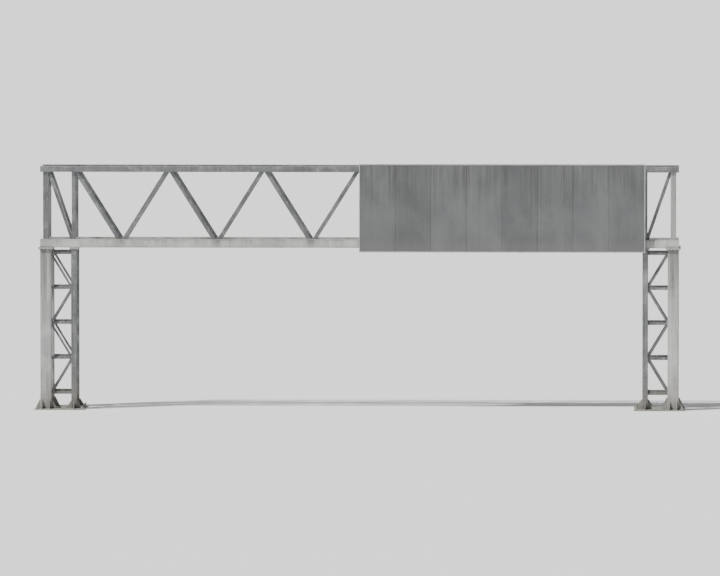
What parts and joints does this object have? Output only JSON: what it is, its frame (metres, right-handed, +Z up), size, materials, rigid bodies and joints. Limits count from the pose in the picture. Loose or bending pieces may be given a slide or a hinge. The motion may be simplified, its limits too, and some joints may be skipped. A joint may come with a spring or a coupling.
{
  "type": "overhead sign gantry",
  "caption": "Motorway portal gantry: laced legs on anchor plates carry a box lattice boom with a wide blank sign panel on the front of one half.",
  "frame": {"origin": "on the ground at the middle of the rectangle that the four base plates cover", "axes": "+X along the span from the left leg to the right leg, -Y the front with the sign, +Z up"},
  "size_m": [23.2, 2.3, 8.8],
  "materials": {
    "light_paint": "weathered light grey paint, satin",
    "grey_steel": "dull galvanised steel, spangled, matt",
    "sign_sheet": "plain mid-grey sheet, satin, rain-streaked",
    "bare_aluminium": "mill finish, dulled"
  },
  "bodies": {
    "root": {"left_front_base_plate": "light_paint", "left_rear_base_plate": "light_paint", "left_base_stiffeners": "light_paint", "left_outer_posts": "light_paint", "left_inner_posts": "grey_steel", "left_bearing_plates": "light_paint", "left_side_rungs": "grey_steel", "left_side_slants": "grey_steel", "left_cross_rungs": "grey_steel", "left_cross_slants": "grey_steel", "left_chord_end_caps": "light_paint", "left_end_verticals": "grey_steel", "left_corner_braces": "grey_steel", "left_end_cross_braces": "grey_steel", "right_front_base_plate": "light_paint", "right_rear_base_plate": "light_paint", "right_base_stiffeners": "light_paint", "right_outer_posts": "light_paint", "right_inner_posts": "grey_steel", "right_bearing_plates": "light_paint", "right_side_rungs": "grey_steel", "right_side_slants": "grey_steel", "right_cross_rungs": "grey_steel", "right_cross_slants": "grey_steel", "right_chord_end_caps": "light_paint", "right_end_verticals": "grey_steel", "right_corner_braces": "grey_steel", "right_end_cross_braces": "grey_steel", "front_bottom_chord": "light_paint", "rear_bottom_chord": "light_paint", "front_top_chord": "grey_steel", "rear_top_chord": "grey_steel", "front_diagonals": "grey_steel", "rear_diagonals": "grey_steel", "top_struts": "grey_steel", "top_lacing": "grey_steel", "bottom_struts": "light_paint", "bottom_lacing": "light_paint", "sign_sheets": "sign_sheet", "sign_long_trims": "bare_aluminium", "sign_side_trims": "bare_aluminium", "sign_rails": "bare_aluminium", "sign_posts": "grey_steel", "upper_sign_brackets": "grey_steel", "lower_sign_brackets": "grey_steel"}
  },
  "joints": []
}
